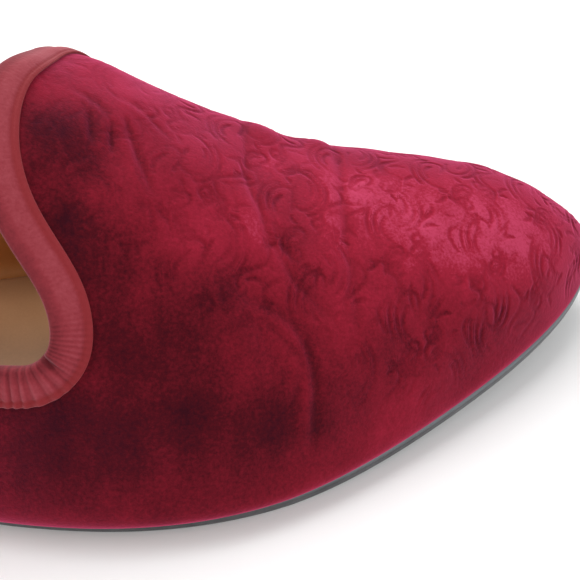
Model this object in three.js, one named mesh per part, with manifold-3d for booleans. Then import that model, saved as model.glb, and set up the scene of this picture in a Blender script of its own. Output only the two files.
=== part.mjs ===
// A velvet slip-on loafer, the right shoe of a pair, with a ribbon-bound topline and a thin sole.
// Millimetres. +X runs from heel to toe, +Y to the medial side, +Z up from the floor.

import * as THREE from 'three';
import { mergeVertices } from 'three/addons/utils/BufferGeometryUtils.js';
import Module from 'manifold-3d';

// Driving dimensions
const lastLength = 302;          // feather line, heel to toe
const wallThickness = 1.8;       // velvet, backing and lining together
const outsoleThickness = 3.2;
const outsoleMargin = 0.4;       // how far the sole stands out from the feather line
const outsoleBevel = 0.6;
const insoleThickness = 2.4;
const insoleDish = 1.2;          // the insole's edge rises this much over its middle
const insoleDishWidth = 40;      // narrower than this, the insole is dished less
const heelEnd = 0.25;            // the heel's breast, as a fraction of the length
const heelTaper = 1.5;           // how far the heel's foot draws in from its top
const seatGap = 0.3;             // between pieces that lie on each other
const ribbonWidth = 6.9;         // each leg of the folded ribbon
const ribbonThickness = 0.55;
const ribbonGap = 0.5;           // between the ribbon and the curved wall that it clasps
const foldShoulder = 0.75;       // where the fold's shoulders lie, as a share of its stand past the edge
const shoulderHeight = 0.35;     // the shoulders' height over each face of the wall
const heelBackHeight = 38;       // where the back curve of the heel crosses its feather line again
const heelBackSwell = 2.2;       // how far it swells behind that line
const heelBackReach = 0.3;       // the curve fades out at this fraction of the length
const rollPlace = 0.045;         // where the wall rolls out furthest over the sole, as a share of the rib

// Resolution
const lastStations = 44;
const ribSteps = 13;
const ribCrowding = 1.6;         // above 1, the steps up a rib crowd towards the feather line
const soleStations = 40;
const toplineSteps = 124;
const toplineFineness = 8;       // steps of the walk that spaces the topline evenly, for each of its own
const walkSteps = 4;             // steps of the walk from the topline to the ribbon's edge
const acrossSteps = 6;           // strips across the sole
const heelStations = 16;
const probe = 1e-3;              // short step in angle and girth, for slopes
const mergeDistance = 1e-3;
const flatArea = 0.01;           // a ring smaller than this is drawn flat

// The last, one row for each section from heel to toe:
//   station    fraction of the length
//   lateral    feather line on the outer side
//   medial     feather line on the inner side
//   height     ridge of the section over its feather line
//   ridge      place of the ridge across the shoe
//   underside  height of the sole's lower face; below zero it is pressed flat on the floor
//   roll       how far the wall rolls out over its feather line
const lastColumns = ['station', 'lateral', 'medial', 'height', 'ridge', 'underside', 'roll'];
const lastRows = [
  [0.00,   0.0,  0.0, 80.0,  0.0, 12.0, 0.0],
  [0.03, -20.5, 20.5, 88.0,  0.0, 12.0, 1.4],
  [0.08, -29.8, 29.8, 94.0,  0.0, 12.0, 2.2],
  [0.15, -34.4, 33.4, 98.0,  0.0, 12.0, 2.6],
  [0.25, -35.5, 30.8, 99.0,  1.0, 10.8, 3.0],
  [0.35, -37.2, 28.3, 98.0,  2.2,  6.2, 3.4],
  [0.45, -42.3, 30.8, 92.0,  4.2,  1.8, 3.9],
  [0.52, -48.0, 36.4, 82.0,  6.1, -0.1, 4.5],
  [0.58, -51.8, 42.1, 72.4,  7.9, -0.5, 4.3],
  [0.64, -52.9, 46.6, 61.8,  9.7, -0.4, 3.8],
  [0.70, -50.6, 49.2, 51.3, 11.2,  0.0, 2.9],
  [0.76, -44.5, 49.7, 43.8, 12.2,  1.0, 2.0],
  [0.82, -35.8, 47.6, 38.6, 12.4,  2.6, 1.5],
  [0.88, -25.9, 42.6, 33.1, 11.8,  5.0, 1.1],
  [0.93, -15.9, 35.6, 25.9, 11.2,  7.4, 0.9],
  [0.97,  -5.3, 27.0, 16.6, 10.8,  9.6, 0.6],
  [0.99,   2.3, 20.0, 10.0, 10.2, 10.9, 0.3],
  [1.00,   9.6,  9.6,  0.0,  9.6, 11.7, 0.0],
];

// The topline, from the back of the heel round the outer side, the throat and the inner side:
//   station  fraction of the length
//   girth    place on the section: -1 outer feather line, 0 ridge, 1 inner feather line
const toplineColumns = ['station', 'girth'];
const toplineRows = [
  [0.000, -0.608], [0.060, -0.675], [0.150, -0.735], [0.250, -0.770], [0.350, -0.779],
  [0.450, -0.756], [0.526, -0.720], [0.550, -0.704], [0.5615, -0.674], [0.566, -0.630],
  [0.561, -0.566], [0.546, -0.476], [0.538, -0.400], [0.536, -0.300], [0.537, -0.220],
  [0.542, -0.150], [0.556,  0.000], [0.565,  0.150], [0.575,  0.330], [0.584,  0.520],
  [0.584,  0.610], [0.577,  0.665], [0.558,  0.705], [0.510,  0.730], [0.440,  0.755],
  [0.350,  0.772], [0.250,  0.766], [0.150,  0.735], [0.060,  0.675], [0.000,  0.608],
];

// A natural cubic spline through the knots; returns a function of the knot variable.
function naturalSpline(knots, values) {
  const count = knots.length;
  const step = knots.slice(1).map((knot, i) => knot - knots[i]);
  const slope = step.map((size, i) => (values[i + 1] - values[i]) / size);
  const diagonal = new Array(count).fill(1);
  const right = new Array(count).fill(0);
  const upper = new Array(count).fill(0);
  for (let i = 1; i < count - 1; i += 1) {
    const factor = step[i - 1] / diagonal[i - 1];
    diagonal[i] = 2 * (step[i - 1] + step[i]) - factor * upper[i - 1];
    upper[i] = step[i];
    right[i] = 6 * (slope[i] - slope[i - 1]) - factor * right[i - 1];
  }
  const bend = new Array(count).fill(0);
  for (let i = count - 2; i > 0; i -= 1) {
    bend[i] = (right[i] - upper[i] * bend[i + 1]) / diagonal[i];
  }
  return (at) => {
    let i = 0;
    while (i < count - 2 && at > knots[i + 1]) i += 1;
    const before = knots[i + 1] - at;
    const after = at - knots[i];
    const size = step[i];
    return (bend[i] * before ** 3 + bend[i + 1] * after ** 3) / (6 * size)
      + (values[i] / size - (bend[i] * size) / 6) * before
      + (values[i + 1] / size - (bend[i + 1] * size) / 6) * after;
  };
}

const column = (rows, columns, name) => rows.map((row) => row[columns.indexOf(name)]);

// Stations are splined over an angle, 0 at the heel and pi at the toe, so that both ends come out round.
const stationAngle = (station) => Math.acos(THREE.MathUtils.clamp(1 - 2 * station, -1, 1));
const angleStation = (angle) => (1 - Math.cos(angle)) / 2;
const lastAngles = column(lastRows, lastColumns, 'station').map(stationAngle);
const last = {};
for (const name of lastColumns.slice(1)) {
  last[name] = naturalSpline(lastAngles, column(lastRows, lastColumns, name));
}

const undersideHeight = (angle) => Math.max(0, last.underside(angle));
const featherHeight = (angle) => undersideHeight(angle) + outsoleThickness + seatGap;

// A point of the last: each side of a section is a quarter ellipse from feather line to ridge,
// with a roll over the sole that swells at once and dies away up the rib.
function lastPoint(angle, girth) {
  const station = angleStation(angle);
  const rib = 1 - Math.abs(girth);
  const edge = girth < 0 ? last.lateral(angle) : last.medial(angle);
  const ridge = last.ridge(angle);
  const outward = Math.sign(edge - ridge);
  const rise = last.height(angle) * Math.sin((Math.PI / 2) * rib);
  const run = (ridge - edge) * (1 - Math.cos((Math.PI / 2) * rib));
  const swell = (rib / rollPlace) * Math.exp(1 - rib / rollPlace);
  const fade = Math.max(0, 1 - station / heelBackReach) ** 2;
  const climb = rise / heelBackHeight;
  const lean = 4 * heelBackSwell * climb * (climb - 1) * fade;
  return new THREE.Vector3(
    lastLength * station + lean,
    edge + run + outward * last.roll(angle) * swell,
    featherHeight(angle) + rise,
  );
}

// Outward unit normal of the last, from two short chords of its surface.
function lastNormal(angle, girth) {
  const low = THREE.MathUtils.clamp(angle - probe, probe, Math.PI - 3 * probe);
  const side = girth < 0 ? -1 : 1;
  const inner = side * Math.max(Math.abs(girth) - probe, 0);
  const outer = side * Math.min(Math.abs(girth) + probe, 1);
  const along = lastPoint(low + 2 * probe, girth).sub(lastPoint(low, girth));
  const across = lastPoint(low + probe, outer).sub(lastPoint(low + probe, inner));
  const normal = along.cross(across).multiplyScalar(side);
  if (angle < probe) normal.setY(0);
  if (angle > Math.PI - probe) normal.set(1, 0, 0);
  return normal.normalize();
}

const evenSteps = (count) => Array.from({ length: count + 1 }, (_, i) => i / count);

// The area of a ring, from the cross products of its sides; a ring drawn flat to a line has none.
function ringArea(ring) {
  const sum = new THREE.Vector3();
  ring.forEach((point, i) => sum.add(point.clone().cross(ring[(i + 1) % ring.length])));
  return sum.length() / 2;
}

// Solids from rings of points: each ring is joined to the next, and the open ends are closed by fans,
// unless they are drawn flat already.
function loftGeometry(rings, endless = false) {
  const size = rings[0].length;
  const positions = rings.flat().flatMap((point) => point.toArray());
  const index = [];
  const strips = endless ? rings.length : rings.length - 1;
  for (let i = 0; i < strips; i += 1) {
    const here = i * size;
    const next = ((i + 1) % rings.length) * size;
    for (let j = 0; j < size; j += 1) {
      const k = (j + 1) % size;
      index.push(here + j, next + j, next + k, here + j, next + k, here + k);
    }
  }
  if (!endless) {
    const ends = [rings[0], rings[rings.length - 1]];
    ends.forEach((ring, end) => {
      if (ringArea(ring) < flatArea) return;
      const middle = ring.reduce((sum, point) => sum.add(point), new THREE.Vector3()).divideScalar(size);
      const centre = positions.length / 3;
      const start = end === 0 ? 0 : (rings.length - 1) * size;
      positions.push(...middle.toArray());
      for (let j = 0; j < size; j += 1) {
        const k = (j + 1) % size;
        if (end === 0) index.push(centre, start + j, start + k);
        else index.push(centre, start + k, start + j);
      }
    });
  }
  return weld(positions, index);
}

// Merges equal points and drops the triangles that this flattens.
function weld(positions, index) {
  const loose = new THREE.BufferGeometry();
  loose.setAttribute('position', new THREE.Float32BufferAttribute(positions, 3));
  loose.setIndex(index);
  const merged = mergeVertices(loose, mergeDistance);
  const corners = merged.getIndex().array;
  const kept = [];
  for (let i = 0; i < corners.length; i += 3) {
    const [a, b, c] = [corners[i], corners[i + 1], corners[i + 2]];
    if (a !== b && b !== c && c !== a) kept.push(a, b, c);
  }
  merged.setIndex(kept);
  return merged;
}

const wasm = await Module();
wasm.setup();

function toSolid(geometry) {
  const mesh = new wasm.Mesh({
    numProp: 3,
    vertProperties: new Float32Array(geometry.getAttribute('position').array),
    triVerts: new Uint32Array(geometry.getIndex().array),
  });
  return new wasm.Manifold(mesh);
}

function toGeometry(solid) {
  const mesh = solid.getMesh();
  return weld(Array.from(mesh.vertProperties), Array.from(mesh.triVerts));
}

// Upper

// The closed body of the last drawn in by a distance, its floor let down by another.
function lastSolid(inset, drop) {
  const ribs = evenSteps(ribSteps).map((share) => share ** ribCrowding);
  const girths = [...ribs.map((rib) => rib - 1), ...ribs.slice(0, -1).toReversed().map((rib) => 1 - rib)];
  const rings = evenSteps(lastStations).map((share) => {
    const angle = share * Math.PI;
    const ring = girths.map((girth) => {
      const point = lastPoint(angle, girth);
      return inset > 0 ? point.addScaledVector(lastNormal(angle, girth), -inset) : point;
    });
    if (drop > 0) {
      const down = new THREE.Vector3(0, 0, -drop);
      ring.unshift(ring[0].clone().add(down));
      ring.push(ring[ring.length - 1].clone().add(down));
    }
    return ring;
  });
  return toSolid(loftGeometry(rings));
}

const toplineShares = evenSteps(toplineRows.length - 1);
const toplineAngles = column(toplineRows, toplineColumns, 'station').map(stationAngle);
const toplineAngle = naturalSpline(toplineShares, toplineAngles);
const toplineGirth = naturalSpline(toplineShares, column(toplineRows, toplineColumns, 'girth'));

// A place on the topline by its share of the way round: angle and girth on the last.
function toplinePlace(share) {
  return { angle: Math.max(0, toplineAngle(share)), girth: toplineGirth(share) };
}

// Shares of the way round that lie at even distances along the topline.
function evenToplineShares() {
  const fine = evenSteps(toplineFineness * toplineSteps);
  const points = fine.map((share) => {
    const { angle, girth } = toplinePlace(share);
    return lastPoint(angle, girth);
  });
  const walked = [0];
  for (let i = 1; i < points.length; i += 1) {
    walked.push(walked[i - 1] + points[i].distanceTo(points[i - 1]));
  }
  const total = walked[walked.length - 1];
  let i = 1;
  return evenSteps(toplineSteps).slice(0, -1).map((share) => {
    while (walked[i] < share * total) i += 1;
    const within = (share * total - walked[i - 1]) / (walked[i] - walked[i - 1]);
    return fine[i - 1] + within * (fine[i] - fine[i - 1]);
  });
}

const roundTopline = evenToplineShares();

// The body that opens the foot of the shoe: a lid whose rim passes through the wall at the topline.
function openingSolid() {
  const reachOut = 8;
  const reachIn = 6;
  const top = 170;
  const middleStation = 0.3;
  const middleHeight = 60;
  const middle = new THREE.Vector3(lastLength * middleStation, 0, middleHeight);
  const rings = roundTopline.map((share) => {
    const { angle, girth } = toplinePlace(share);
    const point = lastPoint(angle, girth);
    const normal = lastNormal(angle, girth);
    const inner = point.clone().addScaledVector(normal, -reachIn);
    const outer = point.clone().addScaledVector(normal, reachOut);
    const raised = new THREE.Vector3(outer.x, outer.y, top);
    return [middle.clone(), inner, outer, raised, new THREE.Vector3(middle.x, middle.y, top)];
  });
  return toSolid(loftGeometry(rings, true));
}

function upperGeometry() {
  const floorDrop = 8;
  const shell = lastSolid(0, 0).subtract(lastSolid(wallThickness, floorDrop));
  return toGeometry(shell.subtract(openingSolid()));
}

// Topline binding

// Walks over the last from a place on the topline, square to it, and gives the place reached.
function walkFromTopline(share, distance) {
  const before = toplinePlace(Math.max(share - probe, 0));
  const after = toplinePlace(Math.min(share + probe, 1));
  const start = toplinePlace(share);
  const along = lastPoint(after.angle, after.girth).sub(lastPoint(before.angle, before.girth));
  let { angle, girth } = start;
  for (let i = 0; i < walkSteps; i += 1) {
    const normal = lastNormal(angle, girth);
    const square = along.clone().cross(normal).normalize();
    const here = lastPoint(angle, girth);
    const alongAngle = lastPoint(angle + probe, girth).sub(here).divideScalar(probe);
    const alongGirth = lastPoint(angle, girth + probe).sub(here).divideScalar(probe);
    const aa = alongAngle.dot(alongAngle);
    const ag = alongAngle.dot(alongGirth);
    const gg = alongGirth.dot(alongGirth);
    const ra = alongAngle.dot(square);
    const rg = alongGirth.dot(square);
    const size = (distance / walkSteps) / (aa * gg - ag * ag);
    angle += size * (gg * ra - ag * rg);
    girth += size * (aa * rg - ag * ra);
  }
  return { angle: Math.max(angle, probe), girth };
}

// The folded ribbon's section, as distance from the topline into the wall and height over its outside.
function ribbonSection() {
  const outside = ribbonGap + ribbonThickness;
  const inside = -wallThickness - ribbonGap;
  const lining = inside - ribbonThickness;
  const fold = ribbonGap + ribbonThickness;
  const legs = [1, 0.5].map((share) => share * ribbonWidth);
  return [
    ...legs.map((reach) => [reach, outside]),
    [0, outside], [-foldShoulder * fold, shoulderHeight], [-fold, -wallThickness / 2],
    [-foldShoulder * fold, -wallThickness - shoulderHeight], [0, lining],
    ...legs.toReversed().map((reach) => [reach, lining]),
    ...legs.map((reach) => [reach, inside]),
    [-ribbonGap, inside], [-ribbonGap, ribbonGap],
    ...legs.toReversed().map((reach) => [reach, ribbonGap]),
  ];
}

function bindingGeometry() {
  const section = ribbonSection();
  const rings = roundTopline.map((share) => section.map(([reach, over]) => {
    const { angle, girth } = walkFromTopline(share, reach);
    return lastPoint(angle, girth).addScaledVector(lastNormal(angle, girth), over);
  }));
  return loftGeometry(rings, true);
}

// Sole pieces

// The feather line grown outwards in plan by a distance, as a point at an angle on one side.
function outlinePoint(angle, side, grow) {
  const edge = side < 0 ? last.lateral : last.medial;
  if (angle < probe) return new THREE.Vector2(-grow, edge(0));
  if (angle > Math.PI - probe) return new THREE.Vector2(lastLength + grow, edge(Math.PI));
  const low = angle - probe;
  const high = angle + probe;
  const alongX = lastLength * (angleStation(high) - angleStation(low));
  const alongY = edge(high) - edge(low);
  const size = Math.hypot(alongX, alongY);
  const x = lastLength * angleStation(angle) - (side * grow * alongY) / size;
  const y = edge(angle) + (side * grow * alongX) / size;
  return new THREE.Vector2(x, y);
}

// A ring round the sole: over its top from the outer to the inner edge, down the inner side, back along
// its foot and up the outer side. A level has its growth over the feather line and its height.
function soleRing(angle, top, sides, foot) {
  const across = (level, share) => {
    const outer = outlinePoint(angle, -1, level.grow);
    const place = outer.lerp(outlinePoint(angle, 1, level.grow), share);
    return new THREE.Vector3(place.x, place.y, level.height(share));
  };
  const shares = evenSteps(acrossSteps);
  return [
    ...shares.map((share) => across(top, share)),
    ...sides.map((level) => across(level, 1)),
    ...shares.toReversed().map((share) => across(foot, share)),
    ...sides.toReversed().map((level) => across(level, 0)),
  ];
}

function outsoleGeometry() {
  const rings = evenSteps(soleStations).map((share) => {
    const angle = share * Math.PI;
    const floor = undersideHeight(angle);
    const top = { grow: outsoleMargin, height: () => floor + outsoleThickness };
    const bevel = { grow: outsoleMargin, height: () => floor + outsoleBevel };
    const foot = { grow: outsoleMargin - outsoleBevel, height: () => floor };
    return soleRing(angle, top, [bevel], foot);
  });
  return loftGeometry(rings);
}

function insoleGeometry() {
  const inset = -wallThickness - seatGap;
  const rings = evenSteps(soleStations).map((share) => {
    const angle = share * Math.PI;
    const floor = featherHeight(angle);
    const width = last.medial(angle) - last.lateral(angle);
    const hollow = insoleDish * Math.min(1, width / insoleDishWidth);
    const dip = (across) => hollow * (1 - (2 * across - 1) ** 2);
    const top = { grow: inset, height: (across) => floor + insoleThickness - dip(across) };
    const foot = { grow: inset, height: () => floor };
    return soleRing(angle, top, [], foot);
  });
  return loftGeometry(rings);
}

function heelGeometry() {
  const breast = stationAngle(heelEnd);
  const rings = evenSteps(heelStations).map((share) => {
    const angle = share * breast;
    const top = { grow: outsoleMargin - outsoleBevel, height: () => undersideHeight(angle) - seatGap };
    const foot = { grow: outsoleMargin - heelTaper, height: () => 0 };
    return soleRing(angle, top, [], foot);
  });
  return loftGeometry(rings);
}

// The shoe
const pieces = [
  ['upper', upperGeometry(), { color: 0x7d1430, roughness: 0.9, metalness: 0 }],
  ['topline_binding', bindingGeometry(), { color: 0x97434f, roughness: 0.8, metalness: 0 }],
  ['outsole', outsoleGeometry(), { color: 0x48484d, roughness: 0.55, metalness: 0 }],
  ['heel', heelGeometry(), { color: 0x3f3f44, roughness: 0.55, metalness: 0 }],
  ['insole', insoleGeometry(), { color: 0x8a6840, roughness: 0.6, metalness: 0 }],
];

const shoe = new THREE.Group();
const box = new THREE.Box3();
for (const [name, geometry, finish] of pieces) {
  geometry.computeVertexNormals();
  const mesh = new THREE.Mesh(geometry, new THREE.MeshStandardMaterial(finish));
  mesh.name = name;
  shoe.add(mesh);
  box.expandByObject(mesh);
}

// The frame's origin is the middle of the shoe's box, on the floor.
const centre = box.getCenter(new THREE.Vector3());
shoe.position.set(-centre.x, -centre.y, -box.min.z);

export default shoe;
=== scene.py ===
import math

import bpy
import numpy as np
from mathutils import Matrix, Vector
from numpy.linalg import norm


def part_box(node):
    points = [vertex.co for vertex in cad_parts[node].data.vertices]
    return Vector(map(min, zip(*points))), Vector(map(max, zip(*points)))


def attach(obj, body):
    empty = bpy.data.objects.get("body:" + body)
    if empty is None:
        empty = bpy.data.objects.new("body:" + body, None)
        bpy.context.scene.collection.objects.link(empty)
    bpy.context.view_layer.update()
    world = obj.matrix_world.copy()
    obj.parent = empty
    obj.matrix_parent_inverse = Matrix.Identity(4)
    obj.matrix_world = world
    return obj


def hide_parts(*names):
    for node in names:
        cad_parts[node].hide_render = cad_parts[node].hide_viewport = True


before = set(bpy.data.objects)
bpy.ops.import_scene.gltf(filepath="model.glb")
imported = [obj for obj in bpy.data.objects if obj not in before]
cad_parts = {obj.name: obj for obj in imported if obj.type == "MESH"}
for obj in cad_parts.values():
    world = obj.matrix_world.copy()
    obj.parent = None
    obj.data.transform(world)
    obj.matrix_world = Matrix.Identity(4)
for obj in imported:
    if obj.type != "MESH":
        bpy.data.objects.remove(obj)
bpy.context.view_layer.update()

mm = 0.001
scene = bpy.context.scene
print("frame loaded:", sorted(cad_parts))

# the last, in millimetres, a row for each section from heel to toe:
# station as a share of the length, outer and inner feather line, height and place of the ridge,
# underside of the sole, roll of the wall over the sole
lastShape = {
    "length": 302.0, "soleThickness": 3.2, "seatGap": 0.3, "wall": 1.8, "rollPlace": 0.045,
    "heelBackHeight": 38.0, "heelBackSwell": 2.2, "heelBackReach": 0.3,
    "columns": ("lateral", "medial", "height", "ridge", "underside", "roll"),
    "rows": (
        (0.00, 0.0, 0.0, 80.0, 0.0, 12.0, 0.0),
        (0.03, -20.5, 20.5, 88.0, 0.0, 12.0, 1.4),
        (0.08, -29.8, 29.8, 94.0, 0.0, 12.0, 2.2),
        (0.15, -34.4, 33.4, 98.0, 0.0, 12.0, 2.6),
        (0.25, -35.5, 30.8, 99.0, 1.0, 10.8, 3.0),
        (0.35, -37.2, 28.3, 98.0, 2.2, 6.2, 3.4),
        (0.45, -42.3, 30.8, 92.0, 4.2, 1.8, 3.9),
        (0.52, -48.0, 36.4, 82.0, 6.1, -0.1, 4.5),
        (0.58, -51.8, 42.1, 72.4, 7.9, -0.5, 4.3),
        (0.64, -52.9, 46.6, 61.8, 9.7, -0.4, 3.8),
        (0.70, -50.6, 49.2, 51.3, 11.2, 0.0, 2.9),
        (0.76, -44.5, 49.7, 43.8, 12.2, 1.0, 2.0),
        (0.82, -35.8, 47.6, 38.6, 12.4, 2.6, 1.5),
        (0.88, -25.9, 42.6, 33.1, 11.8, 5.0, 1.1),
        (0.93, -15.9, 35.6, 25.9, 11.2, 7.4, 0.9),
        (0.97, -5.3, 27.0, 16.6, 10.8, 9.6, 0.6),
        (0.99, 2.3, 20.0, 10.0, 10.2, 10.9, 0.3),
        (1.00, 9.6, 9.6, 0.0, 9.6, 11.7, 0.0),
    ),
}

# the topline from the back of the heel round the outer side, the throat and the inner side:
# station and girth, where -1 is the outer feather line, 0 the ridge and 1 the inner feather line
toplineRows = (
    (0.000, -0.608), (0.06, -0.675), (0.15, -0.735), (0.25, -0.77), (0.35, -0.779),
    (0.45, -0.756), (0.526, -0.72), (0.55, -0.704), (0.5615, -0.674), (0.566, -0.63),
    (0.561, -0.566), (0.543, -0.476), (0.534, -0.366), (0.536, -0.2535), (0.5435, -0.157),
    (0.5515, -0.089), (0.558, -0.015), (0.5646, 0.15), (0.575, 0.33), (0.584, 0.52),
    (0.584, 0.61), (0.577, 0.665), (0.558, 0.705), (0.51, 0.73), (0.44, 0.755),
    (0.35, 0.772), (0.25, 0.766), (0.15, 0.735), (0.06, 0.675), (0.000, 0.608),
)
probe = 1e-3  # short step in angle and girth, for slopes
leastLength = 1e-12  # keeps a division by a length from failing
walkSteps = 10
finePoints = 3001  # round the topline, for measuring along it
fineAngles = np.linspace(0, np.pi, 4001)


# natural cubic spline: the second slopes solve the usual three-term rows, then a cubic runs between knots
def naturalSpline(knots, values):
    knots = np.asarray(knots, float)
    values = np.asarray(values, float)
    step = np.diff(knots)
    inner = np.arange(1, len(knots) - 1)
    rows = np.eye(len(knots))
    rows[inner, inner - 1] = step[:-1]
    rows[inner, inner] = 2 * (step[:-1] + step[1:])
    rows[inner, inner + 1] = step[1:]
    right = np.zeros(len(knots))
    right[1:-1] = 6 * np.diff(np.diff(values) / step)
    bend = np.linalg.solve(rows, right)

    def at(place):
        i = np.clip(np.searchsorted(knots, place) - 1, 0, len(step) - 1)
        before = knots[i + 1] - place
        after = place - knots[i]
        size = step[i]
        cubic = (bend[i] * before**3 + bend[i + 1] * after**3) / (6 * size)
        low = (values[i] / size - bend[i] * size / 6) * before
        high = (values[i + 1] / size - bend[i + 1] * size / 6) * after
        return cubic + low + high

    return at


# stations run over an angle, arccos(1 - 2 * station), 0 at the heel and pi at the toe, so that both ends come
# out round
def stationAngle(station):
    return np.arccos(np.clip(1 - 2 * np.asarray(station, float), -1, 1))


# the station of an angle, (1 - cos(angle)) / 2
def angleStation(angle):
    return (1 - np.cos(angle)) / 2


lastRows = np.array(lastShape["rows"])
lastKnots = stationAngle(lastRows[:, 0])
lastCurve = {
    name: naturalSpline(lastKnots, lastRows[:, column])
    for column, name in enumerate(lastShape["columns"], 1)
}


# height of the feather line: the underside, never below the floor, plus the sole and the gap over it
def featherHeight(angle):
    return np.maximum(0, lastCurve["underside"](angle)) + lastShape["soleThickness"] + lastShape["seatGap"]


# a point of the last: a quarter ellipse from feather line to ridge on each side of a section, plus a roll
# over the sole, (rib / place) * exp(1 - rib / place), plus the back curve of the heel
def lastPoint(angle, girth):
    angle, girth = np.broadcast_arrays(angle, girth)
    station = angleStation(angle)
    rib = 1 - np.abs(girth)
    edge = np.where(girth < 0, lastCurve["lateral"](angle), lastCurve["medial"](angle))
    ridge = lastCurve["ridge"](angle)
    rise = lastCurve["height"](angle) * np.sin(np.pi / 2 * rib)
    run = (ridge - edge) * (1 - np.cos(np.pi / 2 * rib))
    share = rib / lastShape["rollPlace"]
    roll = np.sign(edge - ridge) * lastCurve["roll"](angle) * share * np.exp(1 - share)
    fade = np.maximum(0, 1 - station / lastShape["heelBackReach"]) ** 2
    climb = rise / lastShape["heelBackHeight"]
    lean = 4 * lastShape["heelBackSwell"] * climb * (climb - 1) * fade
    along = lastShape["length"] * station + lean
    return np.stack([along, edge + run + roll, featherHeight(angle) + rise], -1)


# vectors divided by their own lengths
def unit(vectors):
    return vectors / np.maximum(norm(vectors, axis=-1, keepdims=True), leastLength)


# outward normal of the last, the cross product of two short chords
def lastNormal(angle, girth):
    angle, girth = np.broadcast_arrays(angle, girth)
    low = np.clip(angle - probe, probe, np.pi - 3 * probe)
    side = np.where(girth < 0, -1.0, 1.0)
    inner = side * np.maximum(np.abs(girth) - probe, 0)
    outer = side * np.minimum(np.abs(girth) + probe, 1)
    along = lastPoint(low + 2 * probe, girth) - lastPoint(low, girth)
    across = lastPoint(low + probe, outer) - lastPoint(low + probe, inner)
    normal = np.cross(along, across) * side[..., None]
    normal[..., 1] = np.where(angle < probe, 0, normal[..., 1])
    normal = np.where((angle > np.pi - probe)[..., None], np.array([1.0, 0, 0]), normal)
    return unit(normal)


toplineShares = np.linspace(0, 1, len(toplineRows))
toplineAngle = naturalSpline(toplineShares, stationAngle([row[0] for row in toplineRows]))
# the inner half of the throat is narrower than the outer one, so its girths are scaled for the spline and
# back again, which keeps the line smooth in space where it crosses the ridge
innerScale = 0.57
toplineGirths = [row[1] * (innerScale if row[1] > 0 else 1) for row in toplineRows]
toplineWidth = naturalSpline(toplineShares, toplineGirths)


# angle and girth of the topline at a share of the way round it, the inner girths scaled back
def toplinePlace(share):
    width = toplineWidth(share)
    return np.maximum(0, toplineAngle(share)), np.where(width > 0, width / innerScale, width)


# a walk over the last from the topline, square to it: each step solves the two surface slopes for the heading
def walkFromTopline(share, reach):
    share, reach = np.broadcast_arrays(share, reach)
    before = lastPoint(*toplinePlace(np.maximum(share - probe, 0)))
    after = lastPoint(*toplinePlace(np.minimum(share + probe, 1)))
    along = after - before
    angle, girth = [np.array(place) for place in toplinePlace(share)]
    for _ in range(walkSteps):
        square = unit(np.cross(along, lastNormal(angle, girth)))
        here = lastPoint(angle, girth)
        slopeAngle = (lastPoint(angle + probe, girth) - here) / probe
        slopeGirth = (lastPoint(angle, girth + probe) - here) / probe
        angleSize = np.sum(slopeAngle * slopeAngle, -1)
        girthSize = np.sum(slopeGirth * slopeGirth, -1)
        shared = np.sum(slopeAngle * slopeGirth, -1)
        angleLean = np.sum(slopeAngle * square, -1)
        girthLean = np.sum(slopeGirth * square, -1)
        size = reach / walkSteps / (angleSize * girthSize - shared * shared)
        angle = np.maximum(angle + size * (girthSize * angleLean - shared * girthLean), probe)
        girth = girth + size * (angleSize * girthLean - shared * angleLean)
    return angle, girth


# distance from the start of a line to each of its points
def walkedAlong(points):
    return np.concatenate([[0], np.cumsum(norm(np.diff(points, axis=0), axis=1))])


# shares of the way round the topline at even distances along a line some reach from it, and those distances
def evenTopline(pitch, perPitch, reach):
    fine = np.linspace(0, 1, finePoints)
    points = lastPoint(*walkFromTopline(fine, np.full(fine.shape, reach)))
    walked = walkedAlong(points)
    count = round(walked[-1] / pitch)
    even = np.linspace(0, walked[-1], count * perPitch, endpoint=False)
    return np.interp(even, walked, fine), even, walked[-1] / count


# the frame's origin in the last's own table, read from the outsole's box
soleMargin = 0.4
outsoleLow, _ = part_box("outsole")
tableShift = np.array([
    outsoleLow.x / mm + soleMargin,
    outsoleLow.y / mm + soleMargin - lastCurve["lateral"](fineAngles).min(),
    0.0,
])


# 0 below low and 1 above high, with s^2 * (3 - 2 s) between them
def smoothStep(low, high, value):
    share = np.clip((value - low) / (high - low), 0, 1)
    return share * share * (3 - 2 * share)


# quads of a grid of points, row by row; a wrapped direction closes on itself
def gridFaces(rows, columns, wrapRows=False, wrapColumns=False):
    rowSteps = np.arange(rows if wrapRows else rows - 1)
    columnSteps = np.arange(columns if wrapColumns else columns - 1)
    row, column = np.meshgrid(rowSteps, columnSteps, indexing="ij")
    here, onward = row * columns, (row + 1) % rows * columns
    beside = (column + 1) % columns
    return np.stack([here + column, onward + column, onward + beside, here + beside], -1).reshape(-1, 4)


# numbers of a sheet's points, row by row, with the heel seam and the toe closed
def closedNumbers(rows, columns):
    number = np.arange(rows * columns).reshape(rows, columns)
    number[0] = np.minimum(number[0], number[0][::-1])
    number[-1] = number[-1, 0]
    return number


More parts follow.
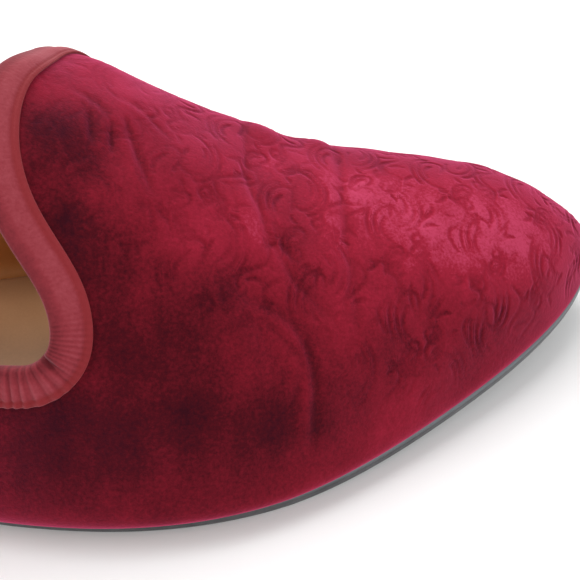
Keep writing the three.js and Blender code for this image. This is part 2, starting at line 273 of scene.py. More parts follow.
# puts points (in millimetres of the last's table) and faces into a mesh; equal indices in a face are dropped
def addPiece(name, points, faces, finish, attributes):
    faces = np.asarray(faces)
    used = np.unique(faces)
    renumber = np.zeros(len(points), int)
    renumber[used] = np.arange(len(used))
    corners = renumber[faces]
    double = corners == np.roll(corners, -1, axis=1)
    whole = ~double.any(axis=1)
    folded = double.sum(axis=1) == 1
    lists = corners[whole].tolist()
    lists += corners[folded][~double[folded]].reshape(-1, 3).tolist()
    mesh = bpy.data.meshes.new(name)
    mesh.from_pydata(((points[used] + tableShift) * mm).tolist(), [], lists)
    for key, values in attributes.items():
        layer = mesh.attributes.new(key, "FLOAT", "POINT")
        layer.data.foreach_set("value", np.asarray(values, np.float32).ravel()[used])
    mesh.polygons.foreach_set("use_smooth", np.ones(len(mesh.polygons), bool))
    mesh.update()
    piece = bpy.data.objects.new(name, mesh)
    scene.collection.objects.link(piece)
    mesh.materials.append(finish)
    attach(piece, "root")
    print(name, len(mesh.vertices), "points", len(mesh.polygons), "faces")
    return piece


# a shader socket whose operators add Math nodes; make() adds any other node
class Shade:
    def __init__(self, tree, socket=None):
        self.tree = tree
        self.socket = socket

    def make(self, kind, settings, inputs, output=0):
        node = self.tree.nodes.new(kind)
        for key, value in settings.items():
            if key == "stops":
                ramp = node.color_ramp
                for _ in value[2:]:
                    ramp.elements.new(0.5)
                for element, (place, colour) in zip(ramp.elements, value):
                    element.position = place
                    element.color = (*colour, 1)
            else:
                setattr(node, key, value)
        for key, value in inputs.items():
            if isinstance(value, Shade):
                self.tree.links.new(value.socket, node.inputs[key])
            else:
                node.inputs[key].default_value = value
        return Shade(self.tree, node.outputs[output])

    def math(self, operation, *values):
        return self.make("ShaderNodeMath", {"operation": operation}, dict(enumerate(values)))

    def __add__(self, other):
        return self.math("ADD", self, other)

    def __radd__(self, other):
        return self.math("ADD", other, self)

    def __sub__(self, other):
        return self.math("SUBTRACT", self, other)

    def __rsub__(self, other):
        return self.math("SUBTRACT", other, self)

    def __mul__(self, other):
        return self.math("MULTIPLY", self, other)

    def __rmul__(self, other):
        return self.math("MULTIPLY", other, self)

    def clamp(self):
        return self.make("ShaderNodeClamp", {}, {"Value": self})


# a material with one Principled shader, made from a look: constants go straight onto its sockets, noises
# (scale, detail, roughness and stretch, centred on 0) and the piece's attributes become fields, and tone,
# relief and roughness are sums of fields, each times its share
class Finish:
    def __init__(self, name, look):
        self.look = look
        self.material = bpy.data.materials.new(name)
        self.material.use_nodes = True
        self.tree = self.material.node_tree
        self.shader = self.tree.nodes["Principled BSDF"]
        self.make = Shade(self.tree).make
        self.place = self.make("ShaderNodeTexCoord", {}, {}, "Object")
        for key, value in look["constants"].items():
            self.shader.inputs[key].default_value = value
        self.fields = {key: self.noise(*noise) - 0.5 for key, noise in look["noises"].items()}
        for key in look["attributes"]:
            self.fields[key] = self.attribute(key)

    def noise(self, scale, detail, rough, stretch=None):
        place = self.place
        if stretch:
            place = self.make("ShaderNodeMapping", {}, {"Vector": place, "Scale": stretch})
        inputs = {"Vector": place, "Scale": scale, "Detail": detail, "Roughness": rough}
        return self.make("ShaderNodeTexNoise", {}, inputs, 0)

    def attribute(self, name):
        return self.make("ShaderNodeAttribute", {"attribute_name": name}, {}, "Fac")

    def total(self, key):
        parts = [self.fields[name] * share for name, share in self.look[key].items()]
        return sum(parts[1:], parts[0])

    def ramp(self):
        tone = self.look["level"] + self.total("tone")
        return self.make("ShaderNodeValToRGB", {"stops": self.look["colours"]}, {"Fac": tone.clamp()})

    def mix(self, share, first, second):
        inputs = {0: share, 6: first, 7: (*second, 1)}
        return self.make("ShaderNodeMix", {"data_type": "RGBA"}, inputs, 2)

    def feed(self, colour):
        strength, height = self.look["bump"]
        inputs = {"Height": self.total("relief"), "Strength": strength, "Distance": height * mm}
        bump = self.make("ShaderNodeBump", {}, inputs)
        rough = self.look["rough"] + self.total("roughness")
        for key, value in {"Base Color": colour, "Roughness": rough, "Normal": bump}.items():
            self.tree.links.new(value.socket, self.shader.inputs[key])
        return self.material


velvetLook = {
    "colours": (
        (0.0, (0.026, 0.0014, 0.0045)), (0.2, (0.062, 0.0025, 0.0056)), (0.5, (0.165, 0.0060, 0.0140)),
        (0.8, (0.264, 0.0102, 0.0260)), (1.0, (0.400, 0.0360, 0.0820)),
    ),
    "constants": {
        "Sheen Weight": 0.80, "Sheen Roughness": 0.42, "Sheen Tint": (1.0, 0.13, 0.33, 1),
        "Specular IOR Level": 0.05,
    },
    "noises": {
        "cloud": (70.0, 4.0, 0.6), "streak": (170.0, 3.0, 0.6, (1.0, 0.28, 0.28)),
        "smudge": (210.0, 2.0, 0.5), "pile": (1400.0, 2.0, 0.7), "fuzz": (4200.0, 1.0, 0.55),
    },
    "attributes": ("nap", "press"),
    "level": 0.0,
    "tone": {
        "nap": 1.0, "cloud": 0.40, "streak": 0.30, "smudge": 0.15, "pile": 0.50,
        # painted shade: darker over the pressed strokes and along the middle of each
        "press": -0.06, "line": -0.19,
    },
    "relief": {"pile": 1.0, "fuzz": 0.6, "line": -1.3},
    "bump": (0.35, 0.25),  # strength, and height in millimetres
    "rough": 0.78,
    "roughness": {"press": 0.15},
    "lineInner": 0.16,  # millimetres from the middle of a stroke
    "lineOuter": 0.90,
}


# velvet: nap with painted light and shade from the piece's own attribute, clouds, streaks and smudges of
# brushed pile, pink sheen, and painted shade over the pressed strokes, darkest in a line down the middle of
# each, found from the signed distance to it
def velvetFinish(look):
    finish = Finish("velvet", look)
    line = finish.make("ShaderNodeMapRange", {"interpolation_type": "SMOOTHSTEP"}, {
        "Value": finish.make("ShaderNodeMath", {"operation": "ABSOLUTE"}, {0: finish.attribute("lineGap")}),
        "From Min": look["lineInner"], "From Max": look["lineOuter"], "To Min": 1.0, "To Max": 0.0,
    })
    finish.fields["line"] = line * finish.attribute("lineShare")
    return finish.feed(finish.ramp())


ribbonLook = {
    "colours": ((0.0, (0.112, 0.010, 0.015)), (0.55, (0.232, 0.025, 0.035)), (1.0, (0.310, 0.052, 0.068))),
    "constants": {
        "Sheen Weight": 0.32, "Sheen Roughness": 0.45, "Sheen Tint": (1.0, 0.50, 0.56, 1),
        "Specular IOR Level": 0.1,
    },
    "noises": {"cloud": (120.0, 3.0, 0.6), "fleck": (800.0, 2.0, 0.6), "weave": (1900.0, 2.0, 0.6)},
    "attributes": ("dust", "rib", "redBand"),
    "level": 0.0,
    # painted light and shade: rib carries the lighter crowns and darker valleys of the ribs and gathers
    "tone": {"dust": 0.45, "rib": 0.30, "cloud": 0.25, "fleck": 0.42, "weave": 0.40},
    "relief": {"weave": 1.0, "fleck": 1.0},
    "bump": (0.5, 0.16),
    "rough": 0.72,
    "roughness": {"weave": 0.2},
    "bandColour": (0.215, 0.017, 0.020),
    "bandShare": 0.7,
}


# grosgrain: painted light on the crowns of the ribs and gathers and painted shade in their valleys, a lighter
# middle with painted shade in the pinch, a redder band along the outer edge, flecks and a fine weave
def ribbonFinish(look):
    finish = Finish("ribbon", look)
    share = finish.fields["redBand"] * look["bandShare"]
    return finish.feed(finish.mix(share, finish.ramp(), look["bandColour"]))


leatherLook = {
    "constants": {"Coat Weight": 0.05, "Coat Roughness": 0.45, "Specular IOR Level": 0.35},
    "noises": {"cloud": (60.0, 4.0, 0.6), "fine": (1600.0, 2.0, 0.55)},
    "attributes": ("paler",),
    "level": 0.0,
    "tone": {"paler": 1.0, "cloud": 0.45, "fine": 0.15},
    "relief": {"grain": 0.8, "fine": 0.3},
    "bump": (0.25, 0.15),
    "roughness": {"cloud": 0.15},
    "grainScale": 900.0,
}
liningLook = {
    **leatherLook,
    "colours": ((0.0, (0.360, 0.140, 0.038)), (0.5, (0.550, 0.235, 0.070)), (1.0, (0.680, 0.320, 0.110))),
    "rough": 0.55,
}
sockLook = {
    **leatherLook,
    "colours": ((0.0, (0.180, 0.090, 0.040)), (0.5, (0.330, 0.165, 0.074)), (1.0, (0.500, 0.260, 0.125))),
    "rough": 0.5,
}


# leather: three browns, from clouds and from the piece's own attribute, which on the sock carries painted
# light and painted shade, and a fine pebbled grain
def leatherFinish(name, look):
    finish = Finish(name, look)
    cells = {"Vector": finish.place, "Scale": look["grainScale"]}
    finish.fields["grain"] = finish.make("ShaderNodeTexVoronoi", {"feature": "DISTANCE_TO_EDGE"}, cells)
    return finish.feed(finish.ramp())


rubberLook = {
    "noises": {"scuff": (140.0, 5.0, 0.7), "fine": (1400.0, 2.0, 0.55)},
    "attributes": ("lip",),
    "level": 0.5,
    "tone": {"scuff": 0.8, "fine": 0.2},
    "relief": {"fine": 1.0, "scuff": 0.5},
    "bump": (0.25, 0.12),
    "roughness": {"scuff": 0.2},
    "highlightShare": 0.8,
    "highlightScuff": 0.8,
}
soleLook = {
    **rubberLook,
    "colours": ((0.35, (0.042, 0.043, 0.047)), (0.75, (0.100, 0.103, 0.107))),
    "constants": {"Coat Weight": 0.2, "Coat Roughness": 0.3, "Specular IOR Level": 0.5},
    "rough": 0.48,
    "highlightColour": (0.130, 0.150, 0.170),
}
heelLook = {
    **rubberLook,
    "colours": ((0.35, (0.040, 0.040, 0.043)), (0.75, (0.090, 0.091, 0.094))),
    "constants": {"Coat Weight": 0.15, "Coat Roughness": 0.3, "Specular IOR Level": 0.5},
    "rough": 0.52,
    "highlightColour": (0.110, 0.120, 0.130),
}


# sole rubber: charcoal with dusty scuffs that lighten and roughen it, and a painted bluish highlight on the
# upper lip, broken up by the scuffs
def rubberFinish(name, look):
    finish = Finish(name, look)
    share = finish.fields["lip"] * (look["highlightShare"] + finish.fields["scuff"] * look["highlightScuff"])
    return finish.feed(finish.mix(share, finish.ramp(), look["highlightColour"]))


velvet = velvetFinish(velvetLook)
ribbon = ribbonFinish(ribbonLook)
lining = leatherFinish("lining", liningLook)
sock = leatherFinish("sock", sockLook)
soleEdge = rubberFinish("soleEdge", soleLook)
heelRubber = rubberFinish("heelRubber", heelLook)
print("finishes made")

# upper: the velvet, a sheet over the last with its creases, pressed pattern and nap
velvetSheet = {
    "vampSpacing": 0.46, "quarterSpacing": 1.1, "vampFrom": (0.47, 0.52),
    "measuredGirths": (-0.9, -0.5, 0.0, 0.5), "outerColumns": 168, "innerColumns": 66,
    "columnsMeet": 0.3, "underRibbon": 2.8,
    "pressDepth": 0.24, "waver": 0.20, "waverFade": (0.02, 0.15), "nap": 0.50,
    "turnUnder": 2.5, "turnShare": 0.45, "turnDrop": 0.15, "turnNap": 0.4,
}

# creases: the trough's depth and half width, the height, half width and gap of the ridge beside it towards
# the heel, how much painted shade darkens the one and painted light lightens the other, and the path in
# station and girth
creaseColumns = "trough", "width", "ridge", "ridgeWidth", "gap", "shade", "light"
creases = {
    "firstFold": (
        (0.42, 1.0, 0.36, 3.0, 3.0, 0.14, 0.05),
        ((0.692, 0.45), (0.693, 0.05), (0.692, -0.117), (0.691, -0.208), (0.6965, -0.287), (0.7, -0.355),
         (0.706, -0.385), (0.714, -0.45), (0.726, -0.498), (0.74, -0.563)),
    ),
    "besideFirst": (
        (0.28, 0.9, 0.15, 1.2, 1.6, 0.14, 0.04),
        ((0.704, -0.307), (0.7095, -0.362), (0.716, -0.402)),
    ),
    "secondFold": (
        (0.48, 1.4, 0.45, 3.4, 3.6, 0.18, 0.08),
        ((0.764, 0.45), (0.767, 0.14), (0.7665, -0.047), (0.764, -0.15), (0.76, -0.253), (0.7565, -0.378),
         (0.7575, -0.422), (0.756, -0.52), (0.754, -0.602)),
    ),
    "tonguePuckerOne": (
        (0.4, 0.7, 0.1, 1.0, 1.5, 0.2, 0.04),
        ((0.593, -0.183), (0.5935, -0.225), (0.5945, -0.262)),
    ),
    "tonguePuckerTwo": (
        (0.4, 0.7, 0.12, 1.0, 1.5, 0.2, 0.04),
        ((0.6055, -0.178), (0.6055, -0.23), (0.6055, -0.272)),
    ),
    "tonguePuckerThree": (
        (0.45, 0.9, 0.14, 1.2, 1.7, 0.18, 0.04),
        ((0.613, -0.155), (0.62, -0.24), (0.628, -0.332)),
    ),
    "tongueSlantOne": (
        (0.22, 0.9, 0.08, 1.0, 1.5, 0.14, 0.04),
        ((0.581, -0.13), (0.597, -0.153), (0.604, -0.18)),
    ),
    "tongueSlantTwo": (
        (0.22, 0.9, 0.08, 1.0, 1.5, 0.14, 0.04),
        ((0.608, -0.094), (0.626, -0.118), (0.643, -0.174)),
    ),
    "lowSlack": (
        (0.25, 3.0, 0.25, 3.4, 4.4, 0.0, 0.0),
        ((0.676, -0.46), (0.69, -0.58), (0.694, -0.7)),
    ),
    "longLine": (
        (0.42, 1.4, 0.34, 1.3, 2.2, 0.2, 0.14),
        ((0.677, -0.494), (0.7035, -0.532), (0.7175, -0.602), (0.721, -0.68), (0.72, -0.763),
         (0.716, -0.86)),
    ),
    "innerLine": (
        (0.22, 0.9, 0.16, 1.0, 1.5, 0.14, 0.1),
        ((0.687, -0.526), (0.7055, -0.598), (0.713, -0.663), (0.704, -0.74)),
    ),
}

# patches partly of brushed nap and partly of painted light and painted shade: station, girth, radius in
# millimetres, and how much darker or lighter it lies
napAndPaintedLightPatches = (
    (0.572, -0.28, 9.0, -0.12), (0.578, -0.5, 19.0, -0.17), (0.565, -0.78, 24.0, -0.22),
    (0.628, -0.76, 22.0, -0.18), (0.566, -0.263, 5.0, -0.18), (0.582, -0.245, 5.0, -0.2),
    (0.564, -0.345, 4.0, -0.14), (0.589, -0.323, 4.5, -0.14), (0.572, -0.42, 5.5, -0.14),
    (0.579, -0.453, 5.0, -0.1), (0.587, -0.505, 6.0, -0.06), (0.594, -0.612, 7.0, -0.06),
    (0.62, -0.615, 8.0, -0.08), (0.569, -0.757, 5.0, -0.06), (0.596, -0.82, 6.0, -0.08),
    (0.645, -0.732, 4.0, -0.1), (0.637, -0.792, 6.0, -0.02), (0.693, -0.79, 6.5, -0.2),
    (0.725, -0.807, 3.4, -0.16), (0.66, -0.52, 7.0, -0.12), (0.575, -0.37, 4.5, 0.1),
    (0.584, -0.715, 5.0, 0.14), (0.754, -0.552, 4.5, -0.12), (0.735, -0.127, 3.0, -0.12),
    (0.722, -0.345, 5.0, -0.06), (0.853, -0.723, 10.0, -0.1), (0.893, -0.687, 8.0, -0.08),
    (0.783, -0.76, 10.0, -0.1), (0.568, -0.19, 6.0, 0.12), (0.603, -0.02, 10.0, 0.16),
    (0.628, -0.098, 9.0, 0.1), (0.65, -0.153, 9.0, 0.1), (0.672, -0.175, 9.0, 0.12),
    (0.603, -0.377, 6.0, 0.1), (0.632, -0.295, 8.0, 0.1), (0.655, -0.357, 9.0, 0.14),
    (0.642, -0.435, 8.0, 0.12), (0.728, -0.193, 12.0, 0.12), (0.746, -0.372, 6.0, 0.18),
    (0.746, -0.505, 4.5, 0.2), (0.823, -0.208, 18.0, 0.16), (0.85, -0.45, 14.0, 0.18),
    (0.884, -0.367, 16.0, 0.24), (0.935, -0.378, 14.0, 0.26), (0.3, -0.88, 16.0, -0.14),
    (0.7, 0.5, 20.0, -0.18), (0.62, 0.6, 16.0, -0.2), (0.18, 0.88, 18.0, -0.14),
    (0.767, -0.175, 9.0, 0.21), (0.81, -0.162, 12.0, 0.1), (0.847, -0.235, 12.0, 0.03),
    (0.887, -0.318, 10.0, 0.06), (0.802, -0.357, 9.0, 0.15), (0.845, -0.402, 8.0, 0.05),
    (0.73, -0.025, 9.0, 0.24), (0.705, -0.09, 6.0, 0.16), (0.699, -0.32, 6.0, 0.16),
    (0.681, -0.345, 7.0, 0.11), (0.756, -0.313, 7.0, 0.16), (0.77, -0.518, 5.0, 0.22),
    (0.745, -0.582, 5.0, 0.23), (0.786, -0.877, 8.0, 0.18), (0.535, -0.86, 14.0, -0.1),
    (0.544, -0.92, 10.0, -0.05), (0.683, -0.86, 9.0, -0.09), (0.73, -0.74, 8.0, -0.1),
    (0.668, -0.457, 4.0, -0.08), (0.732, -0.345, 4.0, -0.1), (0.653, -0.583, 6.0, -0.05),
    (0.58, -0.87, 12.0, 0.07), (0.618, -0.52, 10.0, 0.05), (0.653, -0.45, 5.0, 0.06),
    (0.79, -0.15, 9.0, 0.13), (0.703, -0.41, 7.0, 0.14), (0.871, -0.527, 6.0, 0.08),
    (0.796, -0.448, 5.0, 0.1), (0.611, -0.595, 6.0, 0.07),
)
# places where the slack vamp stands up or sinks: station, girth, radius and height in millimetres
swells = (
    (0.706, 0.06, 7.0, 1.8), (0.757, 0.11, 5.0, 1.2), (0.59, 0.05, 8.0, 0.8), (0.562, 0.03, 9.0, -1.9),
)
paintedRimLight = {"lift": 0.26, "reach": 0.046}  # painted light: a lighter band along the sole, where the velvet rolls under


# sum of soft spots on the last, each size * exp(-(distance / radius)^2)
def softSpots(points, spots):
    total = np.zeros(points.shape[:-1])
    for station, girth, radius, size in spots:
        centre = lastPoint(stationAngle(station), np.array(girth))
        total = total + size * np.exp(-(norm(points - centre, axis=-1) / radius) ** 2)
    return total


# rows of angles whose points lie a given distance apart, finer over the vamp than over the quarters
def evenAngles(sheet):
    points = lastPoint(fineAngles[:, None], np.array(sheet["measuredGirths"]))
    stride = norm(np.diff(points, axis=0), axis=-1).max(axis=1)
    station = angleStation(fineAngles[1:])
    fine = smoothStep(*sheet["vampFrom"], station)
    spacing = sheet["quarterSpacing"] + fine * (sheet["vampSpacing"] - sheet["quarterSpacing"])
    count = np.concatenate([[0], np.cumsum(stride / spacing)])
    return np.interp(np.linspace(0, count[-1], int(count[-1]) + 1), count, fineAngles)


# even-odd test of places against the topline's loop in angle and girth
def insideTopline(angle, girth, loopAngle, loopGirth):
    inside = np.zeros(angle.shape, bool)
    starts = np.stack([loopAngle, loopGirth], -1)
    for (startAngle, startGirth), (endAngle, endGirth) in zip(starts, np.roll(starts, -1, axis=0)):
        if startGirth != endGirth:
            crosses = (startGirth > girth) != (endGirth > girth)
            share = (girth - startGirth) / (endGirth - startGirth)
            inside ^= crosses & (angle < (endAngle - startAngle) * share + startAngle)
    return inside


rimPoints = 420  # of the topline, for finding the rim of a sheet


# a grid of angles and girths without the topline's opening: the faces below the topline by some reach, their
# rim moved to exactly that reach
def sheetBelowTopline(angles, girths, reach):
    angle, girth = [grid.copy() for grid in np.meshgrid(angles, girths, indexing="ij")]
    shares = np.linspace(0, 1, rimPoints)
    loopAngle, loopGirth = toplinePlace(shares)
    index, away = nearest(lastPoint(angle, girth).reshape(-1, 3), lastPoint(loopAngle, loopGirth))
    below = ~insideTopline(angle, girth, loopAngle, loopGirth).ravel() & (away > reach)
    faces = gridFaces(*angle.shape)
    kept = below[faces].all(axis=1)
    inKept, inDropped = np.zeros((2, angle.size), bool)
    inKept[faces[kept]] = True
    inDropped[faces[~kept]] = True
    rim = np.flatnonzero(inKept & inDropped)
    angle.ravel()[rim], girth.ravel()[rim] = walkFromTopline(shares[index[rim]], np.full(len(rim), reach))
    return angle, girth, faces[kept]


batchSize = 4000  # points at a time, so that the distances fit in memory


# nearest of a short list of points to each of many; with half widths given, distances are counted in them
def nearest(points, targets, width=1.0):
    index = np.empty(len(points), int)
    away = np.empty(len(points))
    for low in range(0, len(points), batchSize):
        batch = slice(low, low + batchSize)
        square = ((points[batch, None, :] - targets[None, :, :]) ** 2).sum(-1) / np.square(width)
        index[batch] = square.argmin(axis=1)
        away[batch] = np.sqrt(square.min(axis=1))
    return index, away


creaseTrace = {"points": 160, "nearBy": 25.0, "fade": 0.5}


# a crease: along its path a soft trough, a soft ridge beside it towards the heel, both fading to its ends,
# each exp(-(across / width)^2); gives heights, and the painted light on the ridge and painted shade in the
# trough
def creaseShape(points, crease, path):
    station, girth = np.transpose(path)
    knots = np.linspace(0, 1, len(path))
    fine = np.linspace(0, 1, creaseTrace["points"])
    line = lastPoint(naturalSpline(knots, stationAngle(station))(fine), naturalSpline(knots, girth)(fine))
    reach = np.ptp(line, axis=0).max() + creaseTrace["nearBy"]
    near = norm(points - line.mean(axis=0), axis=1) < reach
    index, away = nearest(points[near], line)
    across = np.sign(points[near][:, 0] - line[index][:, 0]) * away
    window = np.sin(np.pi * fine[index]) ** creaseTrace["fade"]
    trough = window * np.exp(-(across / crease["width"]) ** 2)
    ridge = window * np.exp(-((across + crease["gap"]) / crease["ridgeWidth"]) ** 2)
    height, tone = np.zeros((2, len(points)))
    height[near] = crease["ridge"] * ridge - crease["trough"] * trough
    tone[near] = crease["light"] * ridge - crease["shade"] * trough
    return height, tone


# pressed pattern, in millimetres: a motif further from the sheet than strayReach is left out, and sameSide is
# the least cosine between the normals at a motif's place and at its strokes
pattern = {
    "alongRepeat": 26.0, "acrossRepeat": 21.0, "pointSpacing": 0.25, "lineWidth": 0.48, "leastWidth": 0.28,
    "curvePoints": 120, "spiralPoints": 160, "eyeGrowth": 0.25,
    "strayReach": 3.0, "margin": 2.0, "sameSide": 0.3,
}


# a line at even distances in a flat frame: place, half width and the direction square to the line
def stroke(points, width):
    walked = walkedAlong(points)
    even = np.linspace(0, walked[-1], max(3, int(walked[-1] / pattern["pointSpacing"])))
    columns = [points[:, 0], points[:, 1], np.broadcast_to(width, walked.shape)]
    line = np.stack([np.interp(even, walked, column) for column in columns], -1)
    heading = unit(np.gradient(line[:, :2], axis=0))
    return np.column_stack([line, -heading[:, 1], heading[:, 0]])


# spine that curls by heading = curl * t^1.4, with half width w * 2.3 * sqrt(t) * (1 - t)^0.9
def dropSpine(length, width, curl):
    t = np.linspace(0, 1, pattern["curvePoints"])
    heading = curl * t**1.4
    spine = np.cumsum(np.stack([np.cos(heading), np.sin(heading)], -1) * length / len(t), axis=0)
    square = np.stack([-np.sin(heading), np.cos(heading)], -1)
    return spine, square, heading, width * 2.3 * np.sqrt(t) * (1 - t) ** 0.9


# comma: the whole drop pressed flat
def comma(length, width, curl):
    spine, _, _, half = dropSpine(length, width, curl)
    return stroke(spine, half + pattern["leastWidth"])


# outline of a drop
def dropLine(length, width, curl):
    spine, square, _, half = dropSpine(length, width, curl)
    left = spine + half[:, None] * square
    right = spine - half[:, None] * square
    return stroke(np.concatenate([left[::-1], right]), pattern["lineWidth"])


# spiral r = size * exp(-tight * turn), broader towards its eye
def spiral(size, turns, tight):
    turn = np.linspace(0, turns * 2 * np.pi, pattern["spiralPoints"])
    reach = size * np.exp(-tight * turn)
    width = pattern["lineWidth"] * (1 + pattern["eyeGrowth"] * turn / turn[-1])
    return stroke(np.stack([reach * np.cos(turn), reach * np.sin(turn)], -1), width)


# strokes mirrored across their own axis, turned by degrees and then shifted
def moved(points, along=0.0, across=0.0, turn=0.0, mirror=1.0):
    run, rise = math.cos(math.radians(turn)), math.sin(math.radians(turn))
    turned = np.array([[run, rise], [-rise * mirror, run * mirror]])
    flat = points[:, :2] @ turned + np.array([along, across])
    return np.column_stack([flat, points[:, 2], points[:, 3:] @ turned])


# inner comma: length and width as shares of the paisley's, and curl; fingers: length as a share, width, curl
paisleyShape = {
    "curl": 1.7, "openShare": 0.22, "inner": (0.45, 0.2, 1.3), "innerPlace": 0.26,
    "finger": (0.22, 0.35, 0.9), "fingerGap": 1.4, "fingerTurn": -62, "fingerSteps": (16, 78),
    "echoSteps": (6, 92),
}


# paisley: most of a drop's outline, left open at the belly, a comma inside it and fingers on its back
def paisley(length, width, fingers):
    shape = paisleyShape
    spine, square, heading, half = dropSpine(length, width, shape["curl"])
    back = dropLine(length, width, shape["curl"])
    innerLength, innerWidth, innerCurl = shape["inner"]
    inner = comma(innerLength * length, innerWidth * width, innerCurl)
    lines = [back[int(shape["openShare"] * len(back)):], moved(inner, shape["innerPlace"] * length)]
    fingerLength, fingerWidth, fingerCurl = shape["finger"]
    finger = comma(fingerLength * length, fingerWidth, fingerCurl)
    for step in np.linspace(*shape["fingerSteps"], fingers).astype(int):
        foot = spine[step] - (half[step] + shape["fingerGap"]) * square[step]
        lines.append(moved(finger, *foot, math.degrees(heading[step]) + shape["fingerTurn"], -1.0))
    return np.concatenate(lines)


# paisley with a second line outside its back
def echoedPaisley(length, width, apart):
    spine, square, _, half = dropSpine(length, width, paisleyShape["curl"])
    outside = spine - (half[:, None] + apart) * square
    echo = stroke(outside[slice(*paisleyShape["echoSteps"])], pattern["lineWidth"])
    return np.concatenate([paisley(length, width, 0), echo])


leafShape = {"width": 0.55, "curl": 0.8, "foot": 0.3, "apart": 0.5, "spread": 38}


# two leaves that part from one foot
def leafPair(size):
    leaf = comma(size, leafShape["width"], leafShape["curl"])
    foot, apart, spread = leafShape["foot"] * size, leafShape["apart"], leafShape["spread"]
    return np.concatenate([moved(leaf, foot, apart, spread), moved(leaf, foot, -apart, -spread, -1.0)])


waveShape = {
    "swing": 0.17, "points": 90, "leaf": (0.26, 0.5, 0.9), "leafPlace": (0.30, 0.03), "leafTurn": -50,
}


# stem y = swing * length * sin(2 pi t) with a leaf in its first bend
def wave(length):
    t = np.linspace(0, 1, waveShape["points"])
    stem = np.stack([length * t, waveShape["swing"] * length * np.sin(2 * np.pi * t)], -1)
    leafLength, leafWidth, leafCurl = waveShape["leaf"]
    along, across = waveShape["leafPlace"]
    leaf = comma(leafLength * length, leafWidth, leafCurl)
    leaf = moved(leaf, along * length, across * length, waveShape["leafTurn"], -1.0)
    return np.concatenate([stroke(stem, pattern["lineWidth"]), leaf])


motifs = {
    "paisley": echoedPaisley(14.6, 3.1, 1.8),
    "smallPaisley": paisley(8.2, 2.0, 2),
    "curl": spiral(2.6, 1.25, 0.17),
    "leafPair": leafPair(3.5),
    "wave": wave(13.8),
}

# half of one repeat: motif, place along and across in millimetres, turn in degrees, mirror; the other half is
# the same turned by 180 degrees
repeat = (
    ("paisley", 0.8, -2.4, 40, 1), ("wave", 10.6, -6.5, 70, 1), ("smallPaisley", -5.3, 9.3, 10, 1),
    ("leafPair", 0.8, 12.1, 85, 1), ("curl", -7.7, 6.1, 170, -1),
)
halfTurned = tuple(
    (name, -along, -across, turn + 180, mirror) for name, along, across, turn, mirror in repeat
)


# every motif of every repeat over the fabric, rows of repeats shifted by half a repeat in turn
def motifPlaces(fabric):
    steps = np.array([pattern["alongRepeat"], pattern["acrossRepeat"]])
    first = fabric.min(axis=0) // steps - 1
    end = fabric.max(axis=0) // steps + 2
    for cell in np.arange(first[0], end[0]):
        for row in np.arange(first[1], end[1]):
            corner = steps * (cell + 0.5 * (row % 2), row)
            for name, along, across, turn, mirror in repeat + halfTurned:
                yield corner + (along, across), moved(motifs[name], turn=turn, mirror=mirror)


# depth of the pressed strokes: exp(-(away / half width)^4) from the nearest stroke of any motif, each motif
# laid flat on the surface at its own place; also the signed distance to the nearest stroke, in millimetres
def pressedPattern(points, normals, alongs, fabric):
    press = np.zeros(len(points))
    gaps = np.full(len(points), pattern["acrossRepeat"])
    for place, line in motifPlaces(fabric):
        toCentre = np.abs(fabric - place).sum(axis=1)
        centre = toCentre.argmin()
        if toCentre[centre] > pattern["strayReach"]:
            continue
        size = norm(line[:, :2], axis=1).max() + pattern["margin"]
        offset = points - points[centre]
        near = (np.abs(offset).max(axis=1) < size) & (normals @ normals[centre] > pattern["sameSide"])
        flatAcross = np.cross(normals[centre], alongs[centre])
        flat = np.stack([offset[near] @ alongs[centre], offset[near] @ flatAcross], -1)
        index, away = nearest(flat, line[:, :2], line[:, 2])
        press[near] = np.maximum(press[near], np.exp(-away**4))
        beside = flat - line[index, :2]
        signed = np.copysign(norm(beside, axis=1), np.sum(beside * line[index, 3:], axis=1))
        gaps[near] = np.where(np.abs(signed) < np.abs(gaps[near]), signed, gaps[near])
    return press, gaps


wear = {
    "level": 0.55, "swing": 0.45, "quarterShare": 0.36, "vampFrom": (0.58, 0.69), "footFade": (0.03, 0.35),
    "brushedBelow": (0.38, 0.56), "brushedBefore": (0.72, 0.80), "brushedShare": 0.8,
    "lineFade": (0.90, 1.18), "lineLimit": 1.2,
}


# how clearly the pattern shows: worn in patches by a product of sines, weaker on the quarters, brushed out
# low on the side and gone at the foot
def patternClarity(points, station, low):
    x, y, z = points.T
    worn = wear["level"] + wear["swing"] * np.sin(0.43 * x + 1.0) * np.sin(0.37 * y + 0.41 * z + 0.4)
    brushed = (1 - smoothStep(*wear["brushedBelow"], low)) * (1 - smoothStep(*wear["brushedBefore"], station))
    lengthwise = wear["quarterShare"] + (1 - wear["quarterShare"]) * smoothStep(*wear["vampFrom"], station)
    return worn * lengthwise * smoothStep(*wear["footFade"], low) * (1 - wear["brushedShare"] * brushed)


# slow waver of the cloth, a product of sines plus a slanting one
def clothWaver(points):
    x, y, z = points.T
    return np.sin(0.21 * x + 0.6) * np.sin(0.17 * y + 0.11 * z) + 0.6 * np.sin(0.37 * x - 0.29 * y + 1.1)


# the foot of a sheet turned under on both sides: a row of points pulled inwards, joined to the sheet's edge
def turnedUnder(grid, number, sheet):
    rows, columns = number.shape
    width = grid[:, -1, 1] - grid[:, 0, 1]
    pull = np.minimum(sheet["turnUnder"], sheet["turnShare"] * width)
    edge = np.arange(rows - 1)
    points = []
    faces = []
    for side, column in ((-1, 0), (1, columns - 1)):
        inward = grid[:, column].copy()
        inward[:, 1] -= side * pull
        inward[:, 2] -= sheet["turnDrop"]
        outer = number[:, column]
        inner = rows * columns + len(points) * rows + np.arange(rows)
        quads = np.stack([outer[edge], outer[edge + 1], inner[edge + 1], inner[edge]], -1)
        faces.append(quads if side > 0 else quads[:, ::-1])
        points.append(inward)
    return np.concatenate(points), np.concatenate(faces)
